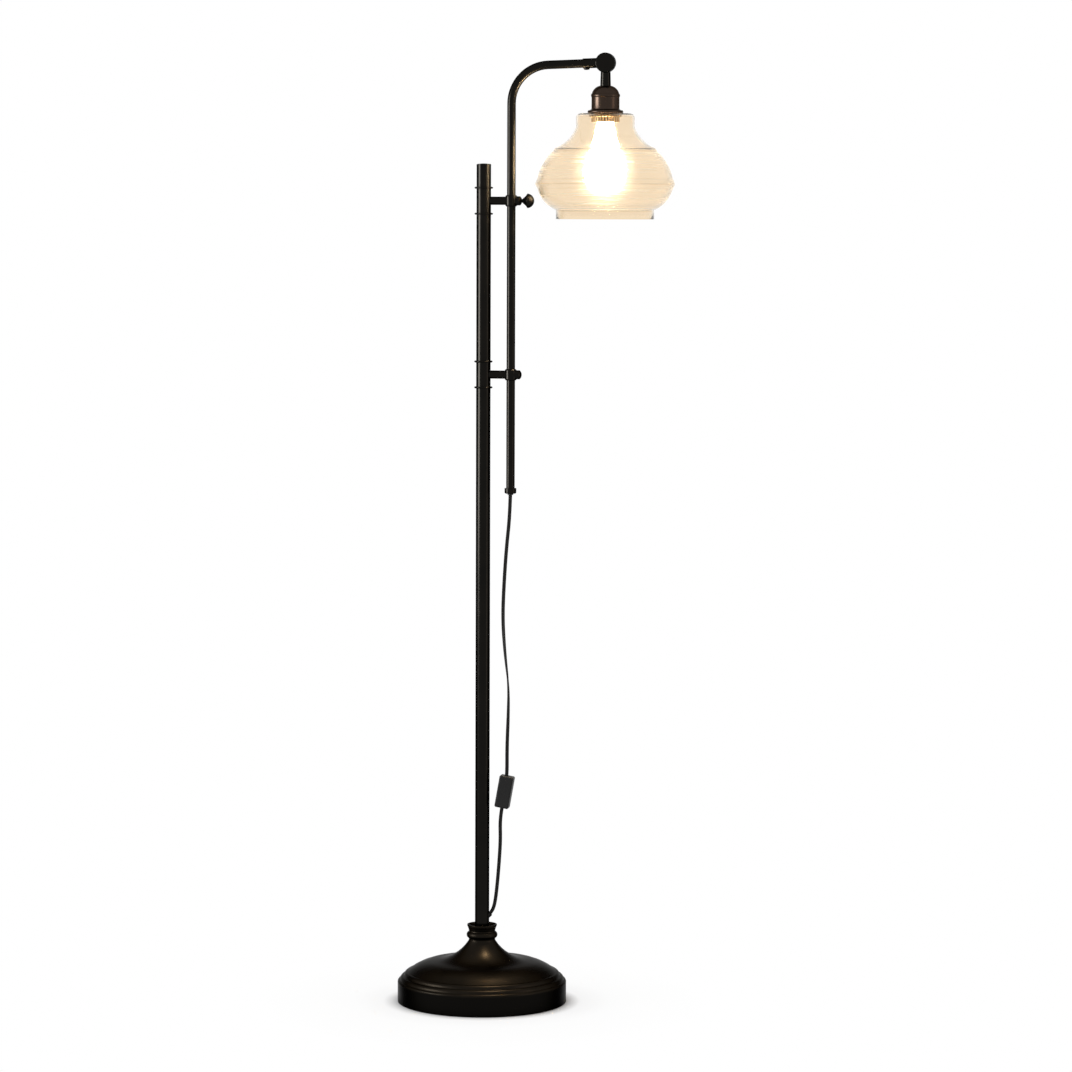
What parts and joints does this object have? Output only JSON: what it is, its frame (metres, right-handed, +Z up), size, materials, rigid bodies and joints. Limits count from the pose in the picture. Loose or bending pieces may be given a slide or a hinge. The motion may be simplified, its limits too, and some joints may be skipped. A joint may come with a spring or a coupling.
{
  "type": "floor lamp",
  "caption": "Pharmacy floor lamp: weighted round base, pole with side brackets, sliding swivel arm with thumb screw, and a tilting socket head under a moulded glass shade.",
  "frame": {"origin": "centre of the base's underside, on the pole's axis, on the floor", "axes": "+Z up along the pole, +X from the pole towards the lamp head"},
  "size_m": [0.422, 0.2621, 1.455],
  "materials": {
    "bronze_metal": "dark bronze, satin",
    "cast_weight": "raw casting",
    "pad_felt": "black felt",
    "plain_steel": "zinc plated",
    "black_plastic": "satin",
    "cord_jacket": "flat twin cord",
    "socket_brass": "bright",
    "shade_glass": "clear moulded glass",
    "bulb_clear": "clear",
    "filament_wire": "bare wire"
  },
  "bodies": {
    "stand": {"base_shell": "bronze_metal", "base_weight": "cast_weight", "floor_pad": "pad_felt", "base_nipple": "plain_steel", "base_nut": "plain_steel", "base_washer": "plain_steel", "neck_bead": "bronze_metal", "pole_cup": "bronze_metal", "outlet_bushing": "black_plastic", "lower_pole": "bronze_metal", "middle_pole": "bronze_metal", "upper_pole": "bronze_metal", "pole_cap": "bronze_metal", "pole_foot": "plain_steel", "pole_ring_1": "bronze_metal", "pole_ring_2": "bronze_metal", "pole_ring_3": "bronze_metal", "pole_ring_4": "bronze_metal", "pole_spigots": "plain_steel", "lower_bracket_block": "bronze_metal", "upper_bracket_block": "bronze_metal", "lower_bracket": "bronze_metal", "upper_bracket": "bronze_metal", "cord_grommet": "black_plastic", "pole_lead": "cord_jacket", "cord_lower": "cord_jacket"},
    "cord_gland": {"cord_bushing": "black_plastic", "cord_upper": "cord_jacket", "switch_front": "black_plastic", "switch_back": "black_plastic", "switch_screws": "plain_steel"},
    "switch_rocker": {"switch_rocker": "black_plastic"},
    "arm": {"arm_tube": "bronze_metal", "arm_lead": "cord_jacket", "tube_end_cap": "bronze_metal", "arm_knuckle": "bronze_metal", "ferrule_screw": "bronze_metal", "pivot_bolt": "plain_steel", "spring_washer": "plain_steel", "friction_washer": "black_plastic"},
    "head": {"head_knuckle": "bronze_metal", "head_lead": "cord_jacket", "socket_nipple": "plain_steel", "socket_husk": "bronze_metal", "socket_body": "black_plastic", "socket_shell": "socket_brass", "socket_contact": "socket_brass", "shade_ring": "bronze_metal", "glass_shade": "shade_glass", "bulb_glass": "bulb_clear", "bulb_cap": "socket_brass", "bulb_filament": "filament_wire"},
    "clamp_pad": {"clamp_pad": "black_plastic"},
    "thumb_screw": {"thumb_screw": "bronze_metal"}
  },
  "joints": [
    {"name": "arm_lift", "type": "slide", "parent": "stand", "child": "cord_gland", "axis": [0, 0, 1], "range_m": [-0.12, 0.16], "deforming": ["cord_lower"]},
    {"name": "arm_turn", "type": "hinge", "parent": "cord_gland", "child": "arm", "pos_m": [0.0425, 0, 1.1], "axis": [0, 0, 1], "range_deg": [-110, 110]},
    {"name": "head_tilt", "type": "hinge", "parent": "arm", "child": "head", "pos_m": [0.1865, 0, 1.44], "axis": [0, -1, 0], "range_deg": [0, 90]},
    {"name": "clamp_slide", "type": "slide", "parent": "stand", "child": "clamp_pad", "axis": [1, 0, 0], "range_m": [0, 0.0008]},
    {"name": "clamp_turn", "type": "hinge", "parent": "clamp_pad", "child": "thumb_screw", "pos_m": [0.0425, 0, 1.232], "axis": [1, 0, 0], "range_deg": [0, 360]},
    {"name": "switch_rock", "type": "hinge", "parent": "cord_gland", "child": "switch_rocker", "pos_m": [0.0349, 0.0054, 0.327], "axis": [0.9848, 0, -0.1736], "range_deg": [-16, 0]}
  ],
  "couplings": [
    {"joint": "clamp_turn", "follows": "clamp_slide", "rad_per_m": 7854}
  ]
}
